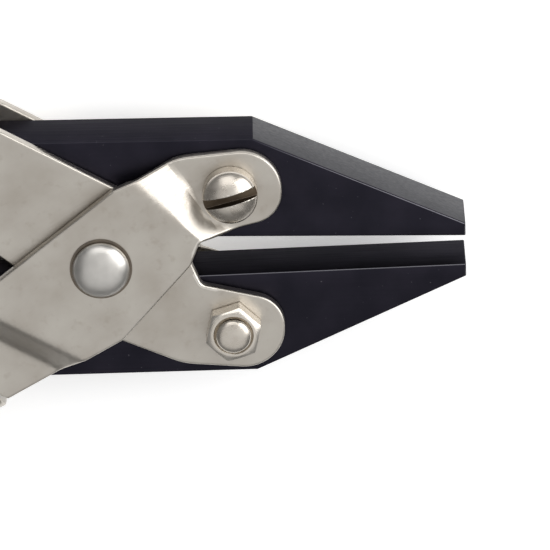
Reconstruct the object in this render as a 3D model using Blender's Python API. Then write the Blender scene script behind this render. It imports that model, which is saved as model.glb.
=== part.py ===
"""Flat nose pliers with parallel jaws, for jewellery work.

Two pressed steel handles cross at a pair of centre rivets. Each handle carries one jaw on a pivot screw
ahead of the rivets, and steers the other jaw with a slide pin that runs in a slot in its tail, so the
jaws stay parallel while the handles swing. The tool has two equal halves: turning it half a turn about
its long axis swaps them, so every piece is modelled once and used twice.

The tool lies flat: +X runs to the jaw tips, +Y is the way the upper jaw opens, +Z is up. Lengths are in
metres. The design is laid out from the centre rivets, and one empty carries it to the bench.
"""

import math

import bmesh
import bpy
import numpy as np

# Linkage: where a jaw's pivot screw and a handle's slide pin lie, ahead of or behind the centre rivets
PIN_AHEAD = 0.01425
PIN_ASIDE = 0.0079
CLOSING_TURN = math.radians(6.25)
OPENING_TURN = math.radians(14.0)

# Jaws
TIP_AHEAD = 0.03985
JAW_THICKNESS = 0.0078
TIP_HEIGHT = 0.00144
TIP_HALF_GAP = 0.00162
GRIP_LEAN = math.radians(1.2)
SHOULDER_AHEAD = 0.0168
SHOULDER_ASIDE = 0.0134
BACK_RISE = 0.0002
TAIL_WALL = 0.0053
TAIL_ROUND = 0.003

# Pressed handles: two cheeks joined by a spine, the head's outline first
SHEET = 0.0014
RUNNING_GAP = 0.00025
EAR_AHEAD = 0.0012
EAR_ASIDE = 0.0005
EAR_RADIUS = 0.00445
EAR_NECK = 0.003
EAR_NECK_ROUND = 0.00356
EAR_CREST = (-0.0056, 0.0040)
EAR_CREST_ROUND = 0.008
EAR_THROAT = (-0.00335, -0.00515)
EAR_THROAT_ROUND = 0.001
NOTCH_AHEAD = 0.00975
NOTCH_ROUND = 0.0008
FRONT_EDGE_HEADING = math.radians(228)
CREST_HEADING = math.radians(203.2)
OUTER_HALF_WIDTH = 0.0084
OUTER_HEADING = math.radians(209.15)
INNER_HALF_WIDTH = 0.0060
INNER_HEADING = math.radians(218.2)
INNER_STRAIGHT = 0.0249
CORNER_ROUND = 0.0005

# Ramps that lower the front cheek from over its neighbour to the ear and to the grip
RAMP_ANGLE = math.radians(34)
FRONT_RAMP_HEADING = math.radians(46.8)
REAR_RAMP_HEADING = math.radians(241.0)
REAR_RAMP_FOOT = 0.0131

# Channel and grip
CHANNEL_START = 0.0155
CHANNEL_PROUD = 0.0010
CHANNEL_BEND = 0.0022
CHANNEL_RELIEF = 0.0008
HANDLE_BACK = 0.1
GRIP_KNEE_BACK = 0.038
GRIP_KNEE_ASIDE = 0.0260
GRIP_END_ASIDE = 0.0248
GRIP_KNEE_WIDTH = 0.0094
GRIP_END_WIDTH = 0.0084
GRIP_KNEE_HEADING = math.radians(182)
GRIP_END_HEADING = math.radians(176)
GRIP_END_ROUND = 0.003

# Rivets, screws, nuts and pins
FIT = 0.00005
UNDER_HEAD = 0.00005
RIVET_RADIUS = 0.002
RIVET_HEAD_RADIUS = 0.0034
RIVET_HEAD_HEIGHT = 0.0015
RIVET_SINK_RADIUS = 0.0028
RIVET_SINK_DEPTH = 0.0008
SCREW_RADIUS = 0.0018
SCREW_HEAD_RADIUS = 0.003
SCREW_HEAD_EDGE = 0.002
SCREW_HEAD_HEIGHT = 0.00305
SCREW_HEAD_ROOM = 0.00035
SLOT_WIDTH = 0.0011
SLOT_DEPTH = 0.0015
SLOT_HEADING = math.radians(14.4)
SCREW_END_SPREAD = 0.00013
SCREW_END_HEIGHT = 0.0007
SCREW_END_CROWN = 0.6
HEAD_CROWN = 0.3
NUT_ACROSS_FLATS = 0.0055
NUT_HEIGHT = 0.0023
NUT_HEADING = math.radians(-17.0)
NUT_CONE_SLOPE = 0.8
SLIDE_PIN_RADIUS = 0.0016
SLIDE_FIT = 0.00006
SLIDE_END_ROOM = 0.0003

# How finely round shapes are cut
ROUND_STEPS = 32
ARC_STEP = math.radians(15)
BEND_STEPS = 4
GRIP_STEPS = 12
HEAD_STEPS = 5
SCREW_END_STEPS = 3
SHARP_EDGE = math.radians(30)

# Slack that tells equal lengths and angles from different ones
LEVEL_SLACK = 5e-6
SPLIT_SLACK = 1e-7
STRAIGHT_SLACK = 0.01
SLOT_END_SHARE = 0.999

# Levels through the thickness, from the middle plane outwards
LOW_FACE = JAW_THICKNESS / 2 + RUNNING_GAP + SHEET
HIGH_FACE = LOW_FACE + RUNNING_GAP + SHEET
RAMP_STEP = HIGH_FACE - LOW_FACE
RAMP_RUN = RAMP_STEP / math.tan(RAMP_ANGLE)
REST_HEIGHT = HIGH_FACE + UNDER_HEAD + RIVET_HEAD_HEIGHT
CUT_THROUGH = 2 * HIGH_FACE
LINK_REACH = math.hypot(PIN_AHEAD, PIN_ASIDE)
LINK_ANGLE = math.atan2(PIN_ASIDE, PIN_AHEAD)
PIN_POINT = np.array([PIN_AHEAD, PIN_ASIDE])

HALF_TURN = math.pi


def heading(angle):
    """The unit vector that points along an angle from +X."""
    return np.array([math.cos(angle), math.sin(angle)])


def rounded(corners):
    """An outline from (x, y, radius) corners: each corner becomes an arc tangent to its two sides."""
    points = []
    count = len(corners)
    for i, (x, y, radius) in enumerate(corners):
        here = np.array([x, y])
        before = np.array(corners[i - 1][:2]) - here
        after = np.array(corners[(i + 1) % count][:2]) - here
        before = before / np.linalg.norm(before)
        after = after / np.linalg.norm(after)
        half = math.acos(np.clip(before @ after, -1, 1)) / 2
        if radius == 0 or half > math.pi / 2 - STRAIGHT_SLACK:
            points.append(here)
            continue
        middle = (before + after) / np.linalg.norm(before + after)
        centre = here + middle * radius / math.sin(half)
        first = here + before * radius / math.tan(half) - centre
        last = here + after * radius / math.tan(half) - centre
        start = math.atan2(first[1], first[0])
        sweep = (math.atan2(last[1], last[0]) - start + math.pi) % (2 * math.pi) - math.pi
        steps = max(1, math.ceil(abs(sweep) / ARC_STEP))
        turns = start + sweep * np.linspace(0, 1, steps + 1)
        points.extend(centre + radius * np.stack([np.cos(turns), np.sin(turns)], axis=1))
    return [tuple(point) for point in points]


def bowed(start, start_heading, end, end_heading, steps):
    """A cubic curve between two points that leaves and arrives along given headings."""
    start, end = np.array(start), np.array(end)
    pull = np.linalg.norm(end - start) / 3
    first = start + pull * heading(start_heading)
    second = end - pull * heading(end_heading)
    t = np.linspace(0, 1, steps + 1)[:, None]
    return (
        (1 - t) ** 3 * start
        + 3 * (1 - t) ** 2 * t * first
        + 3 * (1 - t) * t**2 * second
        + t**3 * end
    )


def normals_left(path):
    """The unit normal on the left of each point of a path."""
    along = np.gradient(path, axis=0)
    along /= np.linalg.norm(along, axis=1)[:, None]
    return np.stack([-along[:, 1], along[:, 0]], axis=1)


def crossing(point_a, heading_a, point_b, heading_b):
    """Where two lines meet."""
    sides = np.stack([heading(heading_a), -heading(heading_b)], axis=1)
    return point_a + heading(heading_a) * np.linalg.solve(sides, point_b - point_a)[0]


def mesh_object(name, bm, closed=True):
    """A new object that holds a bmesh, shaded smooth except at its edges."""
    if closed:
        bmesh.ops.recalc_face_normals(bm, faces=bm.faces)
    mesh = bpy.data.meshes.new(name)
    bm.to_mesh(mesh)
    bm.free()
    mesh.shade_smooth()
    mesh.set_sharp_from_angle(angle=SHARP_EDGE)
    obj = bpy.data.objects.new(name, mesh)
    bpy.context.scene.collection.objects.link(obj)
    return obj


def extruded(name, outline, low, high):
    """A flat plate: an outline carried from one height to another."""
    bm = bmesh.new()
    face = bm.faces.new([bm.verts.new((x, y, low)) for x, y in outline])
    grown = bmesh.ops.extrude_face_region(bm, geom=[face])["geom"]
    raised = [item for item in grown if isinstance(item, bmesh.types.BMVert)]
    bmesh.ops.translate(bm, verts=raised, vec=(0, 0, high - low))
    return mesh_object(name, bm)


def turned(name, profile):
    """A turned piece: (radius, height) points spun round the Z axis, closed on the axis at both ends."""
    bm = bmesh.new()
    turns = np.arange(ROUND_STEPS) * 2 * math.pi / ROUND_STEPS
    rings = [
        [bm.verts.new((r * math.cos(a), r * math.sin(a), z)) for a in turns] for r, z in profile
    ]
    for low, high in zip(rings, rings[1:]):
        for i in range(ROUND_STEPS):
            j = (i + 1) % ROUND_STEPS
            bm.faces.new((low[i], low[j], high[j], high[i]))
    bm.faces.new(rings[0][::-1])
    bm.faces.new(rings[-1])
    return mesh_object(name, bm)


def dome(edge_radius, crown, low, high, steps):
    """The (radius, height) points of a dome from its edge to a flat crown, which is a share of the radius."""
    rise = np.linspace(0, math.pi / 2, steps + 1)
    radii = edge_radius * (crown + (1 - crown) * np.cos(rise))
    return list(zip(radii, low + (high - low) * np.sin(rise)))


def round_hole(radius, point):
    """A cutter for a round hole through the thickness at a point."""
    cutter = turned("hole_cutter", [(radius, -CUT_THROUGH), (radius, CUT_THROUGH)])
    cutter.location = (*point, 0)
    return cutter


def cut(obj, cutters, operation="DIFFERENCE"):
    """Cuts each cutter from the object and leaves the cutters as hidden guides."""
    for cutter in cutters:
        cutter.hide_render = True
        cutter.display_type = "WIRE"
        step = obj.modifiers.new(cutter.name, "BOOLEAN")
        step.object = cutter
        step.operation = operation
        step.solver = "EXACT"


def finished(obj):
    """The object's mesh with its modifiers applied, so that its twin can share it."""
    bpy.context.view_layer.update()
    graph = bpy.context.evaluated_depsgraph_get()
    mesh = bpy.data.meshes.new_from_object(obj.evaluated_get(graph))
    cutters = [step.object for step in obj.modifiers if step.type == "BOOLEAN"]
    name = obj.name
    for spent in [obj, *cutters]:
        bpy.data.objects.remove(spent)
    mesh.name = name
    return mesh


def metal(name, colour, roughness):
    """A metal finish: its colour, in linear values, and how rough it is."""
    material = bpy.data.materials.new(name)
    material.use_nodes = True
    shader = material.node_tree.nodes["Principled BSDF"]
    shader.inputs["Base Color"].default_value = (*colour, 1)
    shader.inputs["Metallic"].default_value = 1
    shader.inputs["Roughness"].default_value = roughness
    return material


def jaw_mesh():
    """One jaw about its pivot screw: a tapered nose, a straight back and a slotted tail."""

    def grip_aside(ahead):
        return TIP_HALF_GAP + (TIP_AHEAD - ahead) * math.tan(GRIP_LEAN)

    least_angle = LINK_ANGLE - CLOSING_TURN
    most_angle = LINK_ANGLE + OPENING_TURN
    slide_back = 2 * LINK_REACH * math.cos(least_angle) + SLIDE_END_ROOM
    slide_front = 2 * LINK_REACH * math.cos(most_angle) - SLIDE_END_ROOM
    tail = PIN_AHEAD - slide_back - TAIL_WALL
    back_aside = SHOULDER_ASIDE + BACK_RISE
    outline = rounded(
        [
            (TIP_AHEAD, TIP_HALF_GAP, 0),
            (TIP_AHEAD, TIP_HALF_GAP + TIP_HEIGHT, 0),
            (SHOULDER_AHEAD, SHOULDER_ASIDE, 0),
            (tail, back_aside, TAIL_ROUND),
            (tail, grip_aside(tail), TAIL_ROUND),
        ]
    )
    outline = [(x - PIN_AHEAD, y - PIN_ASIDE) for x, y in outline]
    jaw = extruded("jaw", outline, -JAW_THICKNESS / 2, JAW_THICKNESS / 2)
    half_width = SLIDE_PIN_RADIUS + SLIDE_FIT
    slot_round = half_width * SLOT_END_SHARE
    slot_back = -slide_back - SLIDE_PIN_RADIUS
    slot_front = -slide_front + SLIDE_PIN_RADIUS
    slot = rounded(
        [
            (slot_back, -half_width, slot_round),
            (slot_front, -half_width, slot_round),
            (slot_front, half_width, slot_round),
            (slot_back, half_width, slot_round),
        ]
    )
    slot_cutter = extruded("slot_cutter", slot, -CUT_THROUGH, CUT_THROUGH)
    cut(jaw, [round_hole(SCREW_RADIUS + FIT, (0, 0)), slot_cutter])
    return finished(jaw)


def outer_corner():
    """The corner where the head's front edge meets the arm's outer edge."""
    arm_edge = OUTER_HALF_WIDTH * heading(OUTER_HEADING + math.pi / 2)
    notch = np.array([NOTCH_AHEAD, 0])
    return crossing(arm_edge, OUTER_HEADING, notch, FRONT_EDGE_HEADING)


def spine_path():
    """The outer face of the channel in plan, from behind the head to the end of the grip."""
    proud = CHANNEL_PROUD * heading(OUTER_HEADING + math.pi / 2)
    start = outer_corner() + CHANNEL_START * heading(OUTER_HEADING) + proud
    knee = (-GRIP_KNEE_BACK, -GRIP_KNEE_ASIDE)
    end = (-HANDLE_BACK, -GRIP_END_ASIDE)
    first = bowed(start, OUTER_HEADING, knee, GRIP_KNEE_HEADING, GRIP_STEPS)
    second = bowed(knee, GRIP_KNEE_HEADING, end, GRIP_END_HEADING, GRIP_STEPS)
    return np.concatenate([first, second[1:]])


def inner_path(shoulder):
    """The cheek's inner edge: straight past the crotch, then along the grip to its end."""
    straight_end = shoulder + INNER_STRAIGHT * heading(INNER_HEADING)
    knee = (-GRIP_KNEE_BACK, -GRIP_KNEE_ASIDE + GRIP_KNEE_WIDTH)
    end = (-HANDLE_BACK, -GRIP_END_ASIDE + GRIP_END_WIDTH)
    first = bowed(straight_end, INNER_HEADING, knee, GRIP_KNEE_HEADING, GRIP_STEPS)
    second = bowed(knee, GRIP_KNEE_HEADING, end, GRIP_END_HEADING, GRIP_STEPS)
    return np.concatenate([first, second[1:]])


def cheek_outline(fold):
    """A cheek in plan, anticlockwise: the fold line first, then the head and the inner edge."""
    corner = outer_corner()
    tab = corner + (CHANNEL_START - CHANNEL_RELIEF) * heading(OUTER_HEADING)
    ear_front = PIN_AHEAD + EAR_AHEAD + EAR_RADIUS
    ear_top = PIN_ASIDE + EAR_ASIDE + EAR_RADIUS
    crest = PIN_POINT + EAR_CREST
    throat = PIN_POINT + EAR_THROAT
    inner_edge = INNER_HALF_WIDTH * heading(INNER_HEADING - math.pi / 2)
    shoulder = crossing(inner_edge, INNER_HEADING, crest, CREST_HEADING)
    inner = inner_path(shoulder)
    corners = [(*point, 0) for point in fold]
    corners += [
        (*tab, 0),
        (*corner, CORNER_ROUND),
        (NOTCH_AHEAD, 0, NOTCH_ROUND),
        (*throat, EAR_THROAT_ROUND),
        (ear_front, PIN_ASIDE - EAR_NECK, EAR_NECK_ROUND),
        (ear_front, ear_top, EAR_RADIUS),
        (*crest, EAR_CREST_ROUND),
        (*shoulder, CORNER_ROUND),
    ]
    corners += [(*point, 0) for point in inner[:-1]]
    corners.append((*inner[-1], GRIP_END_ROUND))
    return rounded(corners)


def front_ramp_foot():
    """How far ahead the front ramp ends: short of the screw head, with room to spare."""
    return PIN_POINT @ heading(FRONT_RAMP_HEADING) - SCREW_HEAD_RADIUS - SCREW_HEAD_ROOM


def ramp_height(x, y):
    """How far the front cheek's face is raised at a point: full over the middle, none past each ramp."""
    point = np.array([x, y])
    front = (front_ramp_foot() - point @ heading(FRONT_RAMP_HEADING)) / RAMP_RUN
    rear = (REAR_RAMP_FOOT - point @ heading(REAR_RAMP_HEADING)) / RAMP_RUN
    return RAMP_STEP * min(max(min(front, rear), 0), 1)


def crease(bm, across, foot):
    """Splits the front cheek along the two edges of a ramp."""
    for distance in (foot, foot - RAMP_RUN):
        flat = [face for face in bm.faces if face.calc_center_median().z > LOW_FACE - LEVEL_SLACK]
        parts = {edge for face in flat for edge in face.edges}
        parts |= {vert for face in flat for vert in face.verts}
        bmesh.ops.bisect_plane(
            bm,
            geom=[*flat, *parts],
            dist=SPLIT_SLACK,
            plane_co=(*(distance * heading(across)), 0),
            plane_no=(*heading(across), 0),
        )


def handle_mesh():
    """One pressed handle about the centre rivets: a ramped front cheek, a flat back cheek and a spine."""
    spine = spine_path()
    inward = -normals_left(spine)
    fold = (spine + CHANNEL_BEND * inward)[::-1]
    outward = -inward[::-1]
    outline = cheek_outline(fold)
    bm = bmesh.new()
    front = [bm.verts.new((x, y, LOW_FACE)) for x, y in outline]
    back = [bm.verts.new((x, y, -LOW_FACE)) for x, y in outline]
    bm.faces.new(front)
    bm.faces.new(back[::-1])
    quarter = np.linspace(0, math.pi / 2, BEND_STEPS + 1)
    bends = [(math.sin(a), LOW_FACE - CHANNEL_BEND * (1 - math.cos(a))) for a in quarter]
    rows = bends[1:] + [(reach, -height) for reach, height in bends[:0:-1]]
    levels = [height for _, height in rows]
    columns = []
    for i, (point, out) in enumerate(zip(fold, outward)):
        places = [point + CHANNEL_BEND * reach * out for reach, _ in rows]
        walls = [bm.verts.new((*place, height)) for place, height in zip(places, levels)]
        columns.append([front[i], *walls, back[i]])
    for left, right in zip(columns, columns[1:]):
        for j in range(len(left) - 1):
            bm.faces.new((left[j], left[j + 1], right[j + 1], right[j]))
    crease(bm, FRONT_RAMP_HEADING, front_ramp_foot())
    crease(bm, REAR_RAMP_HEADING, REAR_RAMP_FOOT)
    for vert in bm.verts:
        if vert.co.z > LOW_FACE - LEVEL_SLACK:
            vert.co.z += ramp_height(vert.co.x, vert.co.y)
    handle = mesh_object("handle", bm, closed=False)
    wall = handle.modifiers.new("wall", "SOLIDIFY")
    wall.thickness = SHEET
    wall.offset = -1
    wall.use_even_offset = True
    sink_face = -LOW_FACE + SHEET
    sink = turned(
        "sink_cutter",
        [
            (RIVET_RADIUS + FIT, sink_face - RIVET_SINK_DEPTH),
            (RIVET_SINK_RADIUS + FIT, sink_face),
            (RIVET_SINK_RADIUS + FIT, 0),
        ],
    )
    holes = [
        round_hole(RIVET_RADIUS + FIT, (0, 0)),
        round_hole(SCREW_RADIUS + FIT, PIN_POINT),
        round_hole(SLIDE_PIN_RADIUS + FIT, -PIN_POINT),
    ]
    cut(handle, [*holes, sink])
    return finished(handle)


def rivet_mesh():
    """A centre rivet: a domed head over the outer cheek and a flush head sunk in the inner one."""
    under_head = HIGH_FACE + UNDER_HEAD
    inner_face = LOW_FACE - SHEET
    shank_start = inner_face + RIVET_SINK_DEPTH
    head_top = under_head + RIVET_HEAD_HEIGHT
    head = dome(RIVET_HEAD_RADIUS, HEAD_CROWN, under_head, head_top, HEAD_STEPS)
    profile = [
        (RIVET_SINK_RADIUS, inner_face),
        (RIVET_RADIUS, shank_start),
        (RIVET_RADIUS, under_head),
        *head,
    ]
    return finished(turned("rivet", profile))


def screw_mesh():
    """A pivot screw: a slotted domed head, a plain shank through the jaw and a peened end past the nut."""
    under_head = LOW_FACE + UNDER_HEAD
    head_edge = under_head + SCREW_HEAD_EDGE
    head_top = under_head + SCREW_HEAD_HEIGHT
    nut_top = under_head + NUT_HEIGHT + UNDER_HEAD
    end_radius = SCREW_RADIUS + SCREW_END_SPREAD
    end_top = nut_top + SCREW_END_HEIGHT
    end = dome(end_radius, SCREW_END_CROWN, nut_top, end_top, SCREW_END_STEPS)
    profile = [(radius, -height) for radius, height in end[::-1]]
    profile += [
        (SCREW_RADIUS, -nut_top),
        (SCREW_RADIUS, under_head),
        (SCREW_HEAD_RADIUS, under_head),
        *dome(SCREW_HEAD_RADIUS, HEAD_CROWN, head_edge, head_top, HEAD_STEPS),
    ]
    screw = turned("screw", profile)
    along = SCREW_HEAD_RADIUS * 2
    half = SLOT_WIDTH / 2
    bar = [(-along, -half), (along, -half), (along, half), (-along, half)]
    slot = extruded("slot_cutter", bar, head_top - SLOT_DEPTH, CUT_THROUGH)
    slot.rotation_euler.z = SLOT_HEADING
    cut(screw, [slot])
    return finished(screw)


def nut_mesh():
    """A hexagon nut with its outer corners chamfered, below the back cheek."""
    seat = LOW_FACE + UNDER_HEAD
    top = seat + NUT_HEIGHT
    corner = NUT_ACROSS_FLATS / math.sqrt(3)
    turns = NUT_HEADING + np.arange(6) * math.pi / 3
    nut = extruded("nut", corner * np.stack([np.cos(turns), np.sin(turns)], axis=1), -top, -seat)
    face = NUT_ACROSS_FLATS / 2
    beyond = corner + SHEET
    barrel = turned(
        "barrel_cutter",
        [
            (face - SHEET, -top - SHEET * NUT_CONE_SLOPE),
            (beyond, -top + (beyond - face) * NUT_CONE_SLOPE),
            (beyond, 0),
        ],
    )
    cut(nut, [barrel], "INTERSECT")
    cut(nut, [round_hole(SCREW_RADIUS + FIT, (0, 0))])
    return finished(nut)


def slide_pin_mesh():
    """A slide pin: plain, with its ends flush in the two cheeks."""
    reach = LOW_FACE - UNDER_HEAD
    return finished(turned("slide_pin", [(SLIDE_PIN_RADIUS, -reach), (SLIDE_PIN_RADIUS, reach)]))


def place(name, mesh, point, parent, material):
    """One piece: its name, its place from the centre rivets and its metal."""
    obj = bpy.data.objects.new(name, mesh)
    bpy.context.scene.collection.objects.link(obj)
    obj.location = (*point, 0)
    obj.parent = parent
    if material.name not in mesh.materials:
        mesh.materials.clear()
        mesh.materials.append(material)
    return obj


def empty(name, parent=None):
    """An empty that carries the pieces parented to it."""
    obj = bpy.data.objects.new(name, None)
    bpy.context.scene.collection.objects.link(obj)
    obj.parent = parent
    return obj


def build():
    for obj in list(bpy.data.objects):
        bpy.data.objects.remove(obj)

    nickel = metal("nickel_plated_sheet", (0.48, 0.45, 0.41), 0.32)
    bright_nickel = metal("nickel_plated_steel", (0.60, 0.57, 0.53), 0.22)
    black_steel = metal("black_oxide_steel", (0.017, 0.016, 0.021), 0.38)
    polished_steel = metal("polished_steel", (0.55, 0.55, 0.54), 0.2)

    centre = (0, 0)
    pieces = [
        ("handle_a", "handle_b", handle_mesh(), centre, nickel),
        ("upper_jaw", "lower_jaw", jaw_mesh(), PIN_POINT, black_steel),
        ("centre_rivet_front", "centre_rivet_back", rivet_mesh(), centre, bright_nickel),
        ("upper_pivot_screw", "lower_pivot_screw", screw_mesh(), PIN_POINT, bright_nickel),
        ("upper_pivot_nut", "lower_pivot_nut", nut_mesh(), PIN_POINT, bright_nickel),
        ("lower_slide_pin", "upper_slide_pin", slide_pin_mesh(), -PIN_POINT, polished_steel),
    ]

    bench = empty("bench")
    bench.location = ((HANDLE_BACK - TIP_AHEAD) / 2, 0, REST_HEIGHT)
    first_half = empty("first_half", bench)
    second_half = empty("second_half", bench)
    second_half.rotation_euler.x = HALF_TURN

    for first_name, second_name, mesh, point, material in pieces:
        place(first_name, mesh, point, first_half, material)
        place(second_name, mesh, point, second_half, material)


build()
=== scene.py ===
# %% [markdown]
# # Flat nose pliers with parallel jaws
# These jeweller's pliers are two pressed sheet handles that cross at a pair of centre rivets. Two black
# jaws hang on pivot screws, and pins at their tails keep them parallel. Each cell below makes one kind of
# piece or one finish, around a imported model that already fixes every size, place and joint.

# %% Load the frame
import math

import bpy
import numpy as np
from mathutils import Matrix, Vector


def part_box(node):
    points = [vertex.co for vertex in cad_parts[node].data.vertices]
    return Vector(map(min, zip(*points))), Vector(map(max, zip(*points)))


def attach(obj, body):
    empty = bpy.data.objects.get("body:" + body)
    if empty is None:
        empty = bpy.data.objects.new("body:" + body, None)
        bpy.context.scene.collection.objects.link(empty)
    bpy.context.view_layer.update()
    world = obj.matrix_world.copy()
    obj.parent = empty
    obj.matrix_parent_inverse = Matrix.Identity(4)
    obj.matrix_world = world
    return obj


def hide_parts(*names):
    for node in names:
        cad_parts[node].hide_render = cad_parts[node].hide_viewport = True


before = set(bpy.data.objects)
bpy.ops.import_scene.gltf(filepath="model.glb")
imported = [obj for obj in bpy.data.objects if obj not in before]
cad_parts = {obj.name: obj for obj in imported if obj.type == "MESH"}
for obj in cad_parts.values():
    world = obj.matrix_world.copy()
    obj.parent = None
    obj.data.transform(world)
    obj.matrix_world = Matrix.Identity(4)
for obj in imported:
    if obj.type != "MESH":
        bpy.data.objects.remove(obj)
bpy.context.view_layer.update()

MM = 0.001
QUARTER = math.pi / 2
print("nodes:", sorted(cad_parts))

# %% [markdown]
# ## Where things are
# The tool has two equal halves: half a turn about its long axis swaps them. So every piece is worked out
# once, measured from the centre rivets, and placed twice. The sizes that pieces share are read from the
# frame's own boxes, because a typed copy of them could drift away from the working model.

# %% Measure the frame
rivet_low, rivet_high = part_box("centre_rivet_front")
back_rivet_low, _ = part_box("centre_rivet_back")
screw_low, screw_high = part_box("upper_pivot_screw")
nut_low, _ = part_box("upper_pivot_nut")
pin_low, pin_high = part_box("lower_slide_pin")
jaw_low, jaw_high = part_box("upper_jaw")
handle_low, handle_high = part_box("handle_a")

CENTRE = np.array([(rivet_low.x + rivet_high.x) / 2, (rivet_low.y + rivet_high.y) / 2, 0.0])
CENTRE[2] = (rivet_high.z + back_rivet_low.z) / 2
PIN = np.array([(screw_low.x + screw_high.x) / 2, (screw_low.y + screw_high.y) / 2]) - CENTRE[:2]
JAW_HALF = (jaw_high.z - jaw_low.z) / 2
HIGH_FACE = handle_high.z - CENTRE[2]
LOW_FACE = CENTRE[2] - handle_low.z
RAMP_DROP = HIGH_FACE - LOW_FACE
print(f"the pivot screw is {PIN / MM} mm from the centre")
print(f"the cheeks' outer faces are {LOW_FACE / MM:.2f} and {HIGH_FACE / MM:.2f} mm from the middle")

# %% [markdown]
# ## Outlines
# A sheared or ground outline is straight runs joined by arcs. It could be drawn by hand, point by point,
# but then no size could change. Here a line is a short list of corners, and one helper rounds each corner
# with an arc that touches both of its sides.


# %% Rounded lines
def heading(angle):
    """The unit vector at an angle from +X: (cosine, sine)."""
    return np.array([math.cos(angle), math.sin(angle)])


def arc_between(before, corner, after, radius, step):
    """A fillet: the arc of a radius that touches both sides of a corner, from one touch to the other."""
    a = (before - corner) / np.linalg.norm(before - corner)
    b = (after - corner) / np.linalg.norm(after - corner)
    half = math.acos(np.clip(a @ b, -1, 1)) / 2
    if radius == 0 or math.pi / 2 - half < math.radians(0.5):
        return corner[None, :]
    centre = corner + (a + b) / np.linalg.norm(a + b) * radius / math.sin(half)
    first = corner + a * radius / math.tan(half) - centre
    last = corner + b * radius / math.tan(half) - centre
    start = math.atan2(first[1], first[0])
    sweep = (math.atan2(last[1], last[0]) - start + math.pi) % (2 * math.pi) - math.pi
    turn = start + sweep * np.linspace(0, 1, max(2, math.ceil(abs(sweep) / step) + 1))
    return centre + radius * np.stack([np.cos(turn), np.sin(turn)], axis=1)


def rounded(corners, closed=True, step=math.radians(6)):
    """A line through (x, y, radius) corners, each one made into its fillet; an open line keeps its ends."""
    points = np.array([corner[:2] for corner in corners], float)
    radii = [corner[2] for corner in corners]
    if not closed:
        radii[0] = radii[-1] = 0
    count = len(points)
    pieces = [
        arc_between(points[i - 1], points[i], points[(i + 1) % count], radii[i], step) for i in range(count)
    ]
    return np.concatenate(pieces)


# %% [markdown]
# ## The pressed handle, in plan
# A real handle starts as a flat blank of 1.4 mm steel. It could be drawn as one n-gon, but a ramp pressed
# across an n-gon has no points to bend, so it would stay faceted. Instead the blank is a grid: a middle
# line runs from the screw hole, past the rivet, to the end of the grip, and rays run from it square out to
# the blank's edge. Every straight run and arc of the edge gets its own ray, so the outline stays exact. The
# grip's long bow is a cubic curve that leaves and arrives along given headings.


# %% Bows and crossings
def bowed(start, start_heading, end, end_heading, steps):
    """A cubic Bezier curve whose handles are a third of the chord long and point along the two headings."""
    start, end = np.array(start, float), np.array(end, float)
    pull = np.linalg.norm(end - start) / 3
    first = start + pull * heading(start_heading)
    second = end - pull * heading(end_heading)
    t = np.linspace(0, 1, steps + 1)[:, None]
    return (1 - t) ** 3 * start + 3 * (1 - t) ** 2 * t * first + 3 * (1 - t) * t**2 * second + t**3 * end


def crossing(point_a, heading_a, point_b, heading_b):
    """Where the line through a along one heading meets the line through b along another."""
    sides = np.stack([heading(heading_a), -heading(heading_b)], axis=1)
    return point_a + heading(heading_a) * np.linalg.solve(sides, point_b - point_a)[0]


def normals_left(path):
    """The unit normals on the left of a path: its tangents turned a quarter turn."""
    along = np.gradient(path, axis=0)
    along /= np.linalg.norm(along, axis=1)[:, None]
    return np.stack([-along[:, 1], along[:, 0]], axis=1)


# %% The blank's edge
SHEET = 1.4 * MM
EAR_AHEAD, EAR_ASIDE, EAR_RADIUS, EAR_NECK = 1.2 * MM, 0.5 * MM, 4.45 * MM, 3.0 * MM
EAR_CREST, EAR_CREST_ROUND = np.array([-5.6, 4.0]) * MM, 8.0 * MM
EAR_THROAT, EAR_THROAT_ROUND = np.array([-3.35, -5.15]) * MM, 1.0 * MM
EAR_NECK_ROUND = 0.8 * EAR_RADIUS
NOTCH_AHEAD, NOTCH_ROUND = 9.75 * MM, 0.8 * MM
FRONT_EDGE_HEADING = math.radians(228)
CREST_HEADING = math.radians(203.2)
OUTER_HALF_WIDTH, OUTER_HEADING = 8.4 * MM, math.radians(209.15)
INNER_HALF_WIDTH, INNER_HEADING, INNER_STRAIGHT = 6.0 * MM, math.radians(218.2), 24.9 * MM
CORNER_ROUND = 0.5 * MM
CHANNEL_START, CHANNEL_PROUD = 15.5 * MM, 1.0 * MM
CHANNEL_BEND, CHANNEL_RELIEF = 2.2 * MM, 0.8 * MM
HANDLE_BACK = CENTRE[0] - handle_low.x
GRIP_KNEE, GRIP_KNEE_WIDTH, GRIP_KNEE_HEADING = np.array([-38, -26]) * MM, 9.4 * MM, math.radians(182)
GRIP_END_ASIDE, GRIP_END_WIDTH, GRIP_END_HEADING = 24.8 * MM, 8.4 * MM, math.radians(176)
GRIP_END_ROUND = 3.0 * MM
GRIP_END_CLEAR = 1.3 * GRIP_END_ROUND
GRIP_STEPS = 60
LEAST_STEP = 0.03 * MM


def grip_line(start, start_heading, inset):
    """A bow to the grip's knee and one to its end; inset 0 is the grip's back and 1 its inner edge."""
    knee = GRIP_KNEE + (0, inset * GRIP_KNEE_WIDTH)
    end = np.array([-HANDLE_BACK, -GRIP_END_ASIDE + inset * GRIP_END_WIDTH])
    first = bowed(start, start_heading, knee, GRIP_KNEE_HEADING, GRIP_STEPS)
    second = bowed(knee, GRIP_KNEE_HEADING, end, GRIP_END_HEADING, GRIP_STEPS)
    return np.concatenate([first, second[1:]])


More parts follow.
